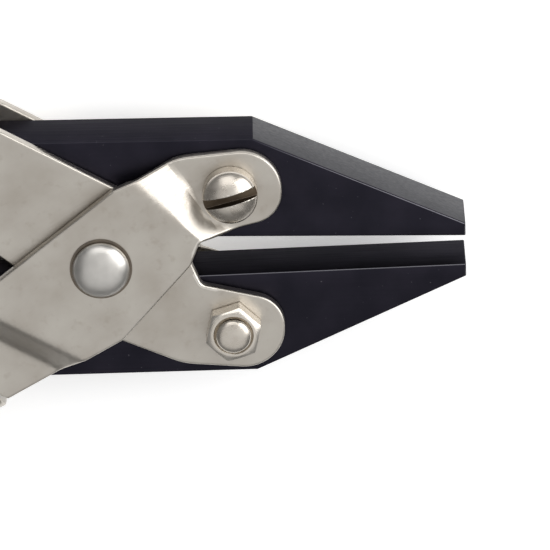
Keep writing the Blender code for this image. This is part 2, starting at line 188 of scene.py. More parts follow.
def blank_edge():
    """The blank's edge, anticlockwise from the grip end along the fold, and the fold's outward normals."""
    outer = OUTER_HALF_WIDTH * heading(OUTER_HEADING + QUARTER)
    corner = crossing(outer, OUTER_HEADING, np.array([NOTCH_AHEAD, 0]), FRONT_EDGE_HEADING)
    proud = CHANNEL_PROUD * heading(OUTER_HEADING + QUARTER)
    spine = grip_line(corner + CHANNEL_START * heading(OUTER_HEADING) + proud, OUTER_HEADING, 0)
    outward = normals_left(spine)
    fold = (spine - CHANNEL_BEND * outward)[::-1]
    ear_front = PIN[0] + EAR_AHEAD + EAR_RADIUS
    crest = PIN + EAR_CREST
    inner = INNER_HALF_WIDTH * heading(INNER_HEADING - QUARTER)
    shoulder = crossing(inner, INNER_HEADING, crest, CREST_HEADING)
    grip = grip_line(shoulder + INNER_STRAIGHT * heading(INNER_HEADING), INNER_HEADING, 1)
    corners = [(*point, 0) for point in fold]
    corners += [
        (*(corner + (CHANNEL_START - CHANNEL_RELIEF) * heading(OUTER_HEADING)), 0),
        (*corner, CORNER_ROUND),
        (NOTCH_AHEAD, 0, NOTCH_ROUND),
        (*(PIN + EAR_THROAT), EAR_THROAT_ROUND),
        (ear_front, PIN[1] - EAR_NECK, EAR_NECK_ROUND),
        (ear_front, PIN[1] + EAR_ASIDE + EAR_RADIUS, EAR_RADIUS),
        (*crest, EAR_CREST_ROUND),
        (*shoulder, CORNER_ROUND),
    ]
    clear = np.linalg.norm(grip - grip[-1], axis=1) > GRIP_END_CLEAR
    corners += [(*point, 0) for point in grip[clear]]
    corners.append((*grip[-1], GRIP_END_ROUND))
    line = rounded(corners)
    apart = np.linalg.norm(line - np.roll(line, 1, axis=0), axis=1) > LEAST_STEP
    return line[apart], outward[::-1]


edge, fold_outward = blank_edge()
print(f"the blank's edge has {len(edge)} points, {len(fold_outward)} of them on the fold line")

# %% [markdown]
# The middle line is another bow. Each point of the edge is given a station, its distance along the middle
# line, and the rays join points of equal station. Rays that would lie closer than RAY_LEAST are made one.

# %% The middle line
MIDDLE_HEADING = math.radians(212)
MIDDLE_STEPS = 1200
END_REACH = 5.0 * MM


def middle_line():
    """The blank's middle: a bow from the screw hole to the knee, and one to just short of the grip's end."""
    knee = GRIP_KNEE + (0, GRIP_KNEE_WIDTH / 2)
    end = np.array([END_REACH - HANDLE_BACK, -GRIP_END_ASIDE + GRIP_END_WIDTH / 2])
    first = bowed(PIN, MIDDLE_HEADING, knee, GRIP_KNEE_HEADING, MIDDLE_STEPS)
    second = bowed(knee, GRIP_KNEE_HEADING, end, GRIP_END_HEADING, MIDDLE_STEPS)
    return np.concatenate([first, second[1:]])


def stations_of(points, line):
    """How far along the middle line each point lies: where the line's tangent is square to the way there."""
    along = np.gradient(line, axis=0)
    along /= np.linalg.norm(along, axis=1)[:, None]
    run = np.concatenate([[0], np.cumsum(np.linalg.norm(np.diff(line, axis=0), axis=1))])
    ahead = np.einsum("pnk,nk->pn", points[:, None, :] - line[None, :, :], along)
    passed = (ahead > 0).sum(axis=1)
    last = np.clip(passed - 1, 0, len(line) - 2)
    rows = np.arange(len(points))
    share = ahead[rows, last] / (ahead[rows, last] - ahead[rows, last + 1])
    station = run[last] + np.clip(share, 0, 1) * (run[last + 1] - run[last])
    station[passed == 0] = 0
    station[passed == len(line)] = run[-1]
    return station, run


# %% The rays
RAY_PITCH = 0.45 * MM
RAY_LEAST = 0.06 * MM


def rays():
    """The rays in order round the edge: edge points, middle points and places in the edge list."""
    line = middle_line()
    station, run = stations_of(edge, line)
    end = run[-1]
    front = np.flatnonzero(station == 0)
    outer = np.arange(np.flatnonzero(station < end)[0], front[0])
    inner = np.arange(front[-1] + 1, np.flatnonzero(station < end)[-1] + 1)
    wanted = np.concatenate([station[outer], station[inner], np.arange(RAY_PITCH, end, RAY_PITCH)])
    wanted = np.unique(np.round(wanted / RAY_LEAST).astype(int)) * RAY_LEAST
    wanted = wanted[(wanted > RAY_LEAST / 2) & (wanted < end)]
    outer_side = np.arange(outer[0] - 1, front[0] + 1)
    inner_side = np.arange(front[-1], inner[-1] + 2)
    outer_stations = station[outer_side % len(edge)][::-1]
    outer_places = np.interp(wanted[::-1], outer_stations, outer_side[::-1].astype(float))
    inner_places = np.interp(wanted, station[inner_side % len(edge)], inner_side.astype(float))
    rear = np.arange(inner[-1] + 1, outer[0] + len(edge)).astype(float)
    places = np.concatenate([outer_places, front.astype(float), inner_places, rear])
    stations = np.concatenate([wanted[::-1], np.zeros(len(front)), wanted, np.full(len(rear), end)])
    around = np.concatenate([edge, edge])
    number = np.arange(len(around))
    rim = np.stack([np.interp(places, number, around[:, k]) for k in (0, 1)], axis=1)
    middle = np.stack([np.interp(stations, run, line[:, k]) for k in (0, 1)], axis=1)
    return rim, middle, places % len(edge)


ray_rim, ray_middle, ray_place = rays()
print(f"{len(ray_rim)} rays run from the middle line to the blank's edge")

# %% [markdown]
# ## Ramps pressed into the front cheek
# The front cheek has to climb over its neighbour, so the press puts a ramp at each end of a raised plateau.
# The height is a function of the plan: a straight slope whose two folds are rounded. The foot of the front
# ramp is not straight, because it has to leave room for the screw head: it bulges back as a bell curve.

# %% Height of the front cheek
FRONT_RAMP_HEADING, REAR_RAMP_HEADING = math.radians(46.8), math.radians(241)
FRONT_RAMP_TOP, FRONT_FOOT_FAR = 5.8 * MM, 2.1 * MM
FOOT_BULGE, FOOT_BULGE_WIDTH = 1.75 * MM, 3.0 * MM
REAR_RAMP_TOP, REAR_RAMP_FOOT = 10.45 * MM, 13.1 * MM
FOLD_SHARE = 0.13


def eased(t):
    """A ramp from 0 to 1 with rounded folds: each one is a parabola, FOLD_SHARE wide each way."""

    def bent(s):
        inside = (s + FOLD_SHARE) ** 2 / (4 * FOLD_SHARE)
        return np.where(s < -FOLD_SHARE, 0, np.where(s > FOLD_SHARE, s, inside))

    return bent(t) - bent(t - 1)


def cheek_rise(x, y):
    """How far the front cheek stands above its ears: the lower of the front and the rear slope."""
    ahead, aside = heading(FRONT_RAMP_HEADING), heading(FRONT_RAMP_HEADING + QUARTER)
    along = (x - PIN[0]) * ahead[0] + (y - PIN[1]) * ahead[1]
    across = (x - PIN[0]) * aside[0] + (y - PIN[1]) * aside[1]
    foot = -FRONT_FOOT_FAR - FOOT_BULGE * np.exp(-((across / FOOT_BULGE_WIDTH) ** 2))
    front = (foot - along) / (foot + FRONT_RAMP_TOP)
    back = heading(REAR_RAMP_HEADING)
    rear = (REAR_RAMP_FOOT - x * back[0] - y * back[1]) / (REAR_RAMP_FOOT - REAR_RAMP_TOP)
    return RAMP_DROP * np.minimum(eased(front), eased(rear))


print(f"the plateau stands {cheek_rise(0.0, 0.0) / MM:.2f} mm above the ears")

# %% [markdown]
# ## From sheet to handle
# The two cheeks are the same grid at two heights, and the spine between them is a second grid: the fold
# line carried round a quarter bend, down the wall and round another quarter bend. `faces_of_grid` numbers
# the quads of a whole grid at once, which is quicker and tidier than a loop over points. Solidify then
# gives the sheet its real thickness inwards, and a small bevel breaks the sheared edges, as tumbling does
# before plating.


# %% Grids and modifiers
SHARP_EDGE = math.radians(50)


def faces_of_grid(rows, columns, wrap=False, start=0):
    """The quads of a grid whose point (i, j) is number start + i * columns + j; wrap joins the last row."""
    i = np.arange(rows if wrap else rows - 1)[:, None]
    j = np.arange(columns - 1)[None, :]
    ahead = (i + 1) % rows
    quads = [i * columns + j, ahead * columns + j, ahead * columns + j + 1, i * columns + j + 1]
    return start + np.stack(quads, axis=-1).reshape(-1, 4)


def mesh_from(name, points, faces, weld=1e-7):
    """A mesh from points and quads. Points nearer than the weld are made one, and faces that close up go."""
    keys = np.round(np.asarray(points) / weld).astype(np.int64)
    _, first, number = np.unique(keys, axis=0, return_index=True, return_inverse=True)
    corners = number.reshape(-1)[np.asarray(faces)]
    kept = [list(dict.fromkeys(face)) for face in corners.tolist()]
    kept = [face for face in kept if len(face) > 2]
    mesh = bpy.data.meshes.new(name)
    mesh.from_pydata(np.asarray(points)[first], [], kept)
    return mesh


def piece_from(name, mesh):
    """A new object, at the origin, that holds a mesh."""
    obj = bpy.data.objects.new(name, mesh)
    bpy.context.scene.collection.objects.link(obj)
    return obj


def break_edges(body, width, segments):
    """Adds a small bevel on every edge sharper than SHARP_EDGE."""
    step = body.modifiers.new("broken_edges", "BEVEL")
    step.width = width
    step.segments = segments
    step.limit_method = "ANGLE"
    step.angle_limit = SHARP_EDGE
    step.use_clamp_overlap = False


def applied(body, spent):
    """The evaluated mesh of an object; the objects that went into it are removed."""
    bpy.context.view_layer.update()
    graph = bpy.context.evaluated_depsgraph_get()
    mesh = bpy.data.meshes.new_from_object(body.evaluated_get(graph))
    for obj in spent:
        bpy.data.objects.remove(obj)
    return mesh


# %% The folded sheet
RIM_SHARES = np.concatenate([[0, 0.08, 0.17], np.linspace(0.27, 1, 12)])
BEND_STEPS, WALL_STEPS = 8, 5
EDGE_BREAK, EDGE_BREAK_STEPS = 0.22 * MM, 3


def spine_grid():
    """The bends and the wall: fold point + bend * (sin a outwards, 1 - cos a inwards), then its mirror."""
    on_fold = np.flatnonzero(ray_place <= len(fold_outward) - 1 + 1e-6)
    on_fold = on_fold[np.argsort(ray_place[on_fold])]
    number = np.arange(len(fold_outward))
    outward = np.stack([np.interp(ray_place[on_fold], number, fold_outward[:, k]) for k in (0, 1)], axis=1)
    turn = np.linspace(0, QUARTER, BEND_STEPS + 1)
    reach = CHANNEL_BEND * np.sin(turn)
    height = LOW_FACE - CHANNEL_BEND * (1 - np.cos(turn))
    wall = np.linspace(height[-1], -height[-1], WALL_STEPS + 1)[1:-1]
    reach = np.concatenate([reach, np.full(len(wall), CHANNEL_BEND), reach[::-1]])
    height = np.concatenate([height, wall, -height[::-1]])
    plan = ray_rim[on_fold][:, None, :] + outward[:, None, :] * reach[None, :, None]
    level = np.broadcast_to(height, plan.shape[:2])
    return np.concatenate([plan, level[..., None]], axis=-1)


def sheet_mesh():
    """The sheet's outer surface, welded from two cheeks and a spine, then thickened inwards."""
    plan = ray_rim[:, None, :] + (ray_middle - ray_rim)[:, None, :] * RIM_SHARES[None, :, None]
    rays_count, shares_count = plan.shape[:2]
    rise = cheek_rise(plan[..., 0], plan[..., 1])
    front = np.concatenate([plan, (LOW_FACE + rise)[..., None]], axis=-1)
    back = np.concatenate([plan, np.full((rays_count, shares_count, 1), -LOW_FACE)], axis=-1)
    spine = spine_grid()
    size = rays_count * shares_count
    front_faces = faces_of_grid(rays_count, shares_count, wrap=True)
    back_faces = faces_of_grid(rays_count, shares_count, wrap=True, start=size)[:, ::-1]
    spine_faces = faces_of_grid(*spine.shape[:2], start=2 * size)[:, ::-1]
    points = np.concatenate([grid.reshape(-1, 3) for grid in (front, back, spine)])
    faces = np.concatenate([front_faces, back_faces, spine_faces])
    body = piece_from("work", mesh_from("handle", points, faces))
    wall = body.modifiers.new("sheet", "SOLIDIFY")
    wall.thickness = SHEET
    wall.offset = -1
    wall.use_even_offset = True
    break_edges(body, EDGE_BREAK, EDGE_BREAK_STEPS)
    return applied(body, [body])


sheet = sheet_mesh()
print(f"the folded sheet has {len(sheet.polygons)} faces")

# %% [markdown]
# ## Holes
# Holes in a grid could be left open from the start, but the rays would have to bend round them. They are
# drilled last instead, by Booleans with plain cylinders, so that they are round whatever the grid does.
# The rivet's hole is countersunk on the inside of the back cheek, where its tail is hammered flush.

# %% Turning and cutting
TURNED_STEPS, HOLE_STEPS = 96, 64
CUT_BREAK_STEPS = 2


def turned_mesh(name, profile, steps=TURNED_STEPS):
    """A turned piece: its profile (radius, height) swept round Z as (r cos a, r sin a, z)."""
    turn = np.arange(steps) * 2 * math.pi / steps
    radius, height = profile[:, 0], profile[:, 1]
    x = np.cos(turn)[:, None] * radius
    y = np.sin(turn)[:, None] * radius
    points = np.stack([x, y, np.broadcast_to(height, x.shape)], axis=-1).reshape(-1, 3)
    return mesh_from(name, points, faces_of_grid(steps, len(profile), wrap=True))


def rod(radius, low, high, point=(0, 0)):
    """A plain cylinder mesh along Z at a point, used to cut round holes."""
    profile = np.array([[0, low], [radius, low], [radius, high], [0, high]])
    mesh = turned_mesh("rod", profile, HOLE_STEPS)
    mesh.transform(Matrix.Translation((*point, 0)))
    return mesh


def cut_mesh(mesh, cutters, bevel=0.0):
    """A mesh with each cutter mesh taken away by an exact Boolean, then, if a bevel is given, its sharp
    edges broken.
    """
    body = piece_from("work", mesh)
    spent = [body]
    for cutter_mesh in cutters:
        cutter = piece_from("cutter", cutter_mesh)
        spent.append(cutter)
        body.modifiers.new("cut", "BOOLEAN").object = cutter
    if bevel:
        break_edges(body, bevel, CUT_BREAK_STEPS)
    return applied(body, spent)


# %% Drill the handle
HOLE_FIT = 0.05 * MM
RIVET_RADIUS, SCREW_RADIUS = 2.0 * MM, 1.8 * MM
SINK_RADIUS, SINK_DEPTH = 2.8 * MM, 0.8 * MM
SLIDE_PIN_RADIUS = (pin_high.x - pin_low.x) / 2
DRILL_REACH = 2 * HIGH_FACE


def countersink():
    """The cutter for the back cheek's countersink: a cone from the hole's radius out to the sink's."""
    face = SHEET - LOW_FACE
    narrow, wide = RIVET_RADIUS + HOLE_FIT, SINK_RADIUS + HOLE_FIT
    profile = [[0, face - SINK_DEPTH], [narrow, face - SINK_DEPTH], [wide, face], [wide, 0], [0, 0]]
    return turned_mesh("sink", np.array(profile), HOLE_STEPS)


holes = [
    rod(RIVET_RADIUS + HOLE_FIT, -DRILL_REACH, DRILL_REACH),
    rod(SCREW_RADIUS + HOLE_FIT, -DRILL_REACH, DRILL_REACH, PIN),
    rod(SLIDE_PIN_RADIUS + HOLE_FIT, -DRILL_REACH, DRILL_REACH, -PIN),
    countersink(),
]
handle = cut_mesh(sheet, holes)
print(f"the drilled handle has {len(handle.polygons)} faces")

# %% [markdown]
# ## Marks that finishes read
# Plating thins where an edge is rubbed, and turned parts keep the rings of their tool. Edges are also
# painted lighter, partly for that rubbed plating and partly as a painted highlight. A material can only
# follow those if the mesh says where they are, so each finished mesh carries two numbers at every point: how
# sharply the surface bends there, and how far the point is from the piece's own axis. They travel with the
# mesh, so the pattern never slides when the tool opens.

# %% Mark a mesh
WIDE_FACE = 4 * MM**2


def values_of(items, name, width=1, kind=np.float32):
    """One property of every point, corner or face of a mesh, as a whole array."""
    values = np.empty(len(items) * width, kind)
    items.foreach_get(name, values)
    return values.reshape(-1, width) if width > 1 else values


def mark_points(mesh):
    """Stores two numbers at each point: `bend`, 1 minus the length of the mean normal of its faces, and
    `reach`, its distance from the axis in mm. A point on a wide face, or on a face that a cut left with
    more than four corners, gets no bend, because its mark would spread over that whole face."""
    count = len(mesh.vertices)
    corners = values_of(mesh.loops, "vertex_index", kind=np.int32)
    sizes = values_of(mesh.polygons, "loop_total", kind=np.int32)
    total = np.zeros((count, 3))
    np.add.at(total, corners, np.repeat(values_of(mesh.polygons, "normal", 3), sizes, axis=0))
    shared = np.maximum(np.bincount(corners, minlength=count), 1)
    bend = 1 - np.linalg.norm(total / shared[:, None], axis=1)
    widest, most = np.zeros(count), np.zeros(count)
    np.maximum.at(widest, corners, np.repeat(values_of(mesh.polygons, "area"), sizes))
    np.maximum.at(most, corners, np.repeat(sizes, sizes))
    bend[(widest > WIDE_FACE) | (most > 4)] = 0
    reach = np.linalg.norm(values_of(mesh.vertices, "co", 3)[:, :2], axis=1) / MM
    for name, values in (("bend", bend), ("reach", reach)):
        mark = mesh.attributes.new(name, "FLOAT", "POINT")
        mark.data.foreach_set("value", values.astype(np.float32))


# %% [markdown]
# ## One mesh, two pieces
# The second half of the tool could be a turned or mirrored object, but every piece has to sit at the
# origin, unturned, so the half turn goes into the points of a copied mesh. A rotation keeps faces the right
# way out, which a mirror would not.


# %% Place a piece
def placed(name, mesh, first_half, point=(0, 0), smooth_angle=40.0):
    """One finished piece in the tool: moved to its point, turned half a turn about X for the second half."""
    made = mesh.copy()
    made.name = name
    mark_points(made)
    turn = Matrix.Identity(4) if first_half else Matrix.Rotation(math.pi, 4, "X")
    made.transform(Matrix.Translation(CENTRE) @ turn @ Matrix.Translation((*point, 0)))
    made.shade_smooth()
    made.set_sharp_from_angle(angle=math.radians(smooth_angle))
    return piece_from(name, made)


def stand_for(obj, node, body):
    """The piece replaces a node of the frame and moves with its body."""
    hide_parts(node)
    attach(obj, body)
    print(f"{obj.name}: {len(obj.data.vertices)} points, {len(obj.data.polygons)} faces, rides on {body}")


for name, first in (("pressed_handle_a", True), ("pressed_handle_b", False)):
    node = name.removeprefix("pressed_")
    stand_for(placed(name, handle, first), node, node)

# %% [markdown]
# ## Jaws
# A jaw is milled from bar: flat faces, a sloped back and a bright broken edge all round. It is a closed
# outline carried up a short profile, so every edge gets the same small chamfer, and the caps are two flat
# faces. The slot in the tail, where the other handle's pin slides, is cut afterwards.


# %% Plates
def inset(outline, distance):
    """The outline moved inwards: each point goes along its left normal, as far as its corner asks."""
    before = outline - np.roll(outline, 1, axis=0)
    after = np.roll(outline, -1, axis=0) - outline
    before /= np.linalg.norm(before, axis=1)[:, None]
    after /= np.linalg.norm(after, axis=1)[:, None]
    left = np.stack([-(before + after)[:, 1], (before + after)[:, 0]], axis=1)
    return outline + distance * left * 2 / (np.linalg.norm(left, axis=1) ** 2)[:, None]


def plate_mesh(name, outline, profile):
    """A plate: the outline drawn in by the inset at each (inset, height) of the profile, with both caps."""
    rings = [np.column_stack([inset(outline, d), np.full(len(outline), z)]) for d, z in profile]
    count = len(outline)
    points = np.concatenate(rings)
    number = np.arange(count)
    ahead = (number + 1) % count
    faces = []
    for level in range(len(rings) - 1):
        low, high = level * count, (level + 1) * count
        faces += np.stack([low + number, low + ahead, high + ahead, high + number], axis=1).tolist()
    faces.append(number[::-1].tolist())
    faces.append((number + (len(rings) - 1) * count).tolist())
    mesh = bpy.data.meshes.new(name)
    mesh.from_pydata(points, [], faces)
    return mesh


# %% Jaw mesh
TIP_HEIGHT, TIP_HALF_GAP, GRIP_LEAN = 1.44 * MM, 1.62 * MM, math.radians(1.2)
TIP_AHEAD = jaw_high.x - CENTRE[0]
SHOULDER = np.array([16.8, 13.4]) * MM
BACK_RISE = 0.2 * MM
TAIL_WALL, TAIL_ROUND = 5.3 * MM, 3.0 * MM
TIP_ROUND, SHOULDER_ROUND = 0.12 * MM, 0.5 * MM
CHAMFER, CHAMFER_STEPS = 0.16 * MM, 4
LINK_REACH, LINK_ANGLE = float(np.hypot(*PIN)), math.atan2(PIN[1], PIN[0])
CLOSING_TURN, OPENING_TURN = math.radians(6.25), math.radians(14)
SLIDE_FIT, SLIDE_END_ROOM, SLIDE_END_STEPS = 0.06 * MM, 0.3 * MM, 24
SLIDE_BACK = 2 * LINK_REACH * math.cos(LINK_ANGLE - CLOSING_TURN) + SLIDE_END_ROOM
SLIDE_FRONT = 2 * LINK_REACH * math.cos(LINK_ANGLE + OPENING_TURN) - SLIDE_END_ROOM


def grip_aside(ahead):
    """How far the grip face is from the tool's middle: it leans towards the tip."""
    return TIP_HALF_GAP + (TIP_AHEAD - ahead) * math.tan(GRIP_LEAN)


def jaw_block():
    """The jaw about its pivot: nose, shoulder, back and tail, carried up a quarter-round chamfer."""
    tail = PIN[0] - SLIDE_BACK - TAIL_WALL
    corners = [
        (TIP_AHEAD, TIP_HALF_GAP, TIP_ROUND),
        (TIP_AHEAD, TIP_HALF_GAP + TIP_HEIGHT, TIP_ROUND),
        (*SHOULDER, SHOULDER_ROUND),
        (tail, SHOULDER[1] + BACK_RISE, TAIL_ROUND),
        (tail, grip_aside(tail), TAIL_ROUND),
    ]
    turn = np.linspace(0, QUARTER, CHAMFER_STEPS + 1)
    half = np.stack([CHAMFER * (1 - np.sin(turn)), JAW_HALF - CHAMFER * (1 - np.cos(turn))], axis=1)
    return plate_mesh("jaw", rounded(corners) - PIN, np.concatenate([half * (1, -1), half[::-1]]))


def slide_slot():
    """The cutter for the slot: two half circles as wide as the pin and its room, along the pin's way."""
    width = SLIDE_PIN_RADIUS + SLIDE_FIT
    turn = np.linspace(-QUARTER, QUARTER, SLIDE_END_STEPS + 1)
    front_end = np.array([-SLIDE_FRONT + SLIDE_PIN_RADIUS - width, 0])
    back_end = np.array([-SLIDE_BACK - SLIDE_PIN_RADIUS + width, 0])
    bow = width * np.stack([np.cos(turn), np.sin(turn)], axis=1)
    outline = np.concatenate([front_end + bow, back_end - bow])
    return plate_mesh("slot", outline, [(0, -2 * JAW_HALF), (0, 2 * JAW_HALF)])


pivot_hole = rod(SCREW_RADIUS + HOLE_FIT, -2 * JAW_HALF, 2 * JAW_HALF)
jaw = cut_mesh(jaw_block(), [pivot_hole, slide_slot()])
for name, first in (("upper_jaw", True), ("lower_jaw", False)):
    stand_for(placed("milled_" + name, jaw, first, PIN, smooth_angle=25), name, name)

# %% [markdown]
# ## Rivets, screws and pins
# All of these come off a lathe or a header, so each one is a profile spun about its axis. A rivet head is
# set by a cupped punch, which leaves a full crown on a thin foot. The screw has a tall slotted head, and
# its far end is peened over the nut, so it can't work loose. The pins are plain, with broken ends.

# %% Crowns
UNDER_HEAD = 0.05 * MM
CROWN_STEPS = 24


def crown(radius, low, high, fullness, steps=CROWN_STEPS):
    """A crown: height rises as (1 - (r / R) ** fullness) ** (1 / fullness), from the rim to the axis."""
    share = np.cos(np.linspace(0, QUARTER, steps + 1))
    rise = (1 - share**fullness) ** (1 / fullness)
    return np.stack([radius * share, low + (high - low) * rise], axis=1)


# %% Rivet
RIVET_HEAD_RADIUS = (rivet_high.x - rivet_low.x) / 2
RIVET_CROWN_RADIUS, RIVET_FOOT, RIVET_FULLNESS = 3.12 * MM, 0.1 * MM, 2.1


def rivet_mesh():
    """A centre rivet: flush countersunk tail, shank, a thin foot spread by the punch, and a full crown."""
    seat = HIGH_FACE + UNDER_HEAD
    top = rivet_high.z - CENTRE[2]
    inner = LOW_FACE - SHEET
    foot = seat + RIVET_FOOT
    waist = RIVET_CROWN_RADIUS - RIVET_FOOT
    tail = [(0, inner), (SINK_RADIUS, inner), (RIVET_RADIUS, inner + SINK_DEPTH), (RIVET_RADIUS, seat)]
    under = [(RIVET_HEAD_RADIUS, seat), (RIVET_HEAD_RADIUS, foot), (waist, foot)]
    head = crown(RIVET_CROWN_RADIUS, foot + 3 * RIVET_FOOT, top, RIVET_FULLNESS)
    return turned_mesh("rivet", np.concatenate([tail, under, head]))


# %% Screw
SCREW_HEAD_RADIUS = (screw_high.x - screw_low.x) / 2
SCREW_HEAD_TOP = screw_high.z - CENTRE[2]
SCREW_HEAD_EDGE, SCREW_HEAD_FULLNESS = 1.75 * MM, 1.7
SCREW_END_RADIUS, SCREW_END_FULLNESS, SCREW_END_STEPS = 1.93 * MM, 2.4, 16
SCREW_RIM = 0.1 * MM
SLOT_WIDTH, SLOT_DEPTH, SLOT_HEADING = 1.1 * MM, 1.5 * MM, math.radians(14.4)
SLOT_EDGE_BREAK = 0.05 * MM


def screw_mesh():
    """A pivot screw: peened end, shank, and a tall slotted head with a crown."""
    seat = LOW_FACE + UNDER_HEAD
    nut_top = CENTRE[2] - nut_low.z + UNDER_HEAD
    end_top = CENTRE[2] - screw_low.z
    end = crown(SCREW_END_RADIUS, -nut_top - SCREW_RIM, -end_top, SCREW_END_FULLNESS, SCREW_END_STEPS)[::-1]
    shank = [(SCREW_END_RADIUS - SCREW_RIM, -nut_top), (SCREW_RADIUS, -nut_top), (SCREW_RADIUS, seat)]
    under = [(SCREW_HEAD_RADIUS - SCREW_RIM, seat), (SCREW_HEAD_RADIUS, seat + SCREW_RIM)]
    head = crown(SCREW_HEAD_RADIUS, seat + SCREW_HEAD_EDGE, SCREW_HEAD_TOP, SCREW_HEAD_FULLNESS)
    screw = turned_mesh("screw", np.concatenate([end, shank, under, head]))
    half, along = SLOT_WIDTH / 2, 2 * SCREW_HEAD_RADIUS
    bar = np.array([(-along, -half), (along, -half), (along, half), (-along, half)])
    slot = plate_mesh("slot", bar, [(0, SCREW_HEAD_TOP - SLOT_DEPTH), (0, 2 * SCREW_HEAD_TOP)])
    slot.transform(Matrix.Rotation(SLOT_HEADING, 4, "Z"))
    return cut_mesh(screw, [slot], bevel=SLOT_EDGE_BREAK)


# %% Slide pin
PIN_END_BREAK = 0.15 * MM


def pin_mesh():
    """A slide pin: a plain cylinder with a small chamfer at each end."""
    reach = (pin_high.z - pin_low.z) / 2
    shoulder = (SLIDE_PIN_RADIUS, reach - PIN_END_BREAK)
    profile = np.array([(0, reach), (SLIDE_PIN_RADIUS - PIN_END_BREAK, reach), shoulder])
    return turned_mesh("pin", np.concatenate([profile * (1, -1), profile[::-1]]))


# %% [markdown]
# ## Nuts
# A nut could be a hexagonal prism with bevelled edges, but the real one is chamfered by a cone, which
# leaves a curved edge on each flat. Here the hexagon's radius is a function of the angle, and the cone
# lowers the rim by as much as the rim lies outside the flat round face.

# %% Nut
NUT_ACROSS_FLATS, NUT_HEADING = 5.5 * MM, math.radians(-17)
NUT_FACE_SHARE, NUT_STEPS = 0.9, 180
NUT_FOOT_RISE, NUT_FOOT_BREAK, NUT_FOOT_DROP = 0.08 * MM, 0.1 * MM, 0.06 * MM
NUT_SINK_REACH, NUT_SINK_DEPTH = 0.35 * MM, 0.25 * MM
CONE_SLOPE = math.tan(math.radians(30))


def nut_mesh():
    """A nut: hexagon radius = half flats / cos(angle to the nearest flat), its rim lowered by the cone."""
    seat, top = -(LOW_FACE + UNDER_HEAD), nut_low.z - CENTRE[2]
    turn = np.arange(NUT_STEPS) * 2 * math.pi / NUT_STEPS
    to_flat = (turn - NUT_HEADING) % (math.pi / 3) - math.pi / 6
    hexagon = NUT_ACROSS_FLATS / 2 / np.cos(to_flat)
    face = NUT_ACROSS_FLATS / 2 * NUT_FACE_SHARE
    bore = SCREW_RADIUS + HOLE_FIT
    lowered = (hexagon - face) * CONE_SLOPE
    flat = np.ones(NUT_STEPS)
    foot = seat - NUT_FOOT_RISE
    rows = [
        (bore * flat, seat * flat),
        (face * flat, seat * flat),
        (face * flat, foot * flat),
        (hexagon - NUT_FOOT_BREAK, foot * flat),
        (hexagon, foot * flat - NUT_FOOT_DROP),
        (hexagon, top + lowered),
        (face * flat, top * flat),
        ((bore + NUT_SINK_REACH) * flat, top * flat),
        (bore * flat, (top + NUT_SINK_DEPTH) * flat),
        (bore * flat, seat * flat),
    ]
    grid = np.stack([np.stack([r * np.cos(turn), r * np.sin(turn), z], axis=1) for r, z in rows], axis=1)
    faces = faces_of_grid(NUT_STEPS, len(rows), wrap=True)[:, ::-1]
    return mesh_from("nut", grid.reshape(-1, 3), faces)


# %% Place the fittings
rivet, screw, nut, pin = rivet_mesh(), screw_mesh(), nut_mesh(), pin_mesh()
fittings = [
    ("centre_rivet_front", rivet, True, (0, 0), "handle_a", "rivet_plating"),
    ("centre_rivet_back", rivet, False, (0, 0), "handle_b", "rivet_plating"),
    ("upper_pivot_screw", screw, True, PIN, "handle_a", "fastener_plating"),
    ("lower_pivot_screw", screw, False, PIN, "handle_b", "fastener_plating"),
    ("upper_pivot_nut", nut, True, PIN, "handle_a", "fastener_plating"),
    ("lower_pivot_nut", nut, False, PIN, "handle_b", "fastener_plating"),
    ("lower_slide_pin", pin, True, -PIN, "handle_a", "pin_steel"),
    ("upper_slide_pin", pin, False, -PIN, "handle_b", "pin_steel"),
]
for node, mesh, first, point, body, slot in fittings:
    stand_for(placed("turned_" + node, mesh, first, point, smooth_angle=35), node, body)

# %% [markdown]
# ## Finishes
# Each material starts from what the real surface is. One helper turns a hex colour into the linear values
# that a shader wants, and one adds a node with its settings and links, so a material reads as a recipe. The
# two patterns that several metals share, brushed streaks and a tone laid over another, have their own names.


# %% Colours and nodes
def linear(hex_colour):
    """sRGB to linear: c / 12.92 below 0.04045, otherwise ((c + 0.055) / 1.055) to the power 2.4."""
    channels = [int(hex_colour[i : i + 2], 16) / 255 for i in (1, 3, 5)]
    return (*[c / 12.92 if c <= 0.04045 else ((c + 0.055) / 1.055) ** 2.4 for c in channels], 1.0)


def add_node(tree, kind, settings=None, **links):
    """A node of a kind. A setting is named by its socket, its socket's number, `stops` for the (place, hex
    colour) pairs of a colour ramp, or a property of the node. A link names a socket, or _ and its number."""
    node = tree.nodes.new("ShaderNode" + kind)
    for name, value in (settings or {}).items():
        if name == "stops":
            elements = node.color_ramp.elements
            for element, (position, colour) in ((elements[0], value[0]), (elements[1], value[-1])):
                element.position, element.color = position, linear(colour)
            for position, colour in value[1:-1]:
                elements.new(position).color = linear(colour)
        elif isinstance(name, int) or name in node.inputs:
            node.inputs[name].default_value = value
        else:
            setattr(node, name, value)
    for name, source in links.items():
        socket = node.inputs[int(name[1:])] if name[1:].isdigit() else node.inputs[name.replace("_", " ")]
        tree.links.new(source, socket)
    return node


def metal_base(name, roughness, metallic=1.0):
    """A new material, with its tree, its shader, and its Object coordinates."""
    material = bpy.data.materials.new(name)
    material.use_nodes = True
    tree = material.node_tree
    shader = tree.nodes["Principled BSDF"]
    shader.inputs["Metallic"].default_value = metallic
    shader.inputs["Roughness"].default_value = roughness
    place = add_node(tree, "TexCoord")
    return material, tree, shader, place.outputs["Object"]


# %% Shared patterns
LEAST_BEND = 0.01


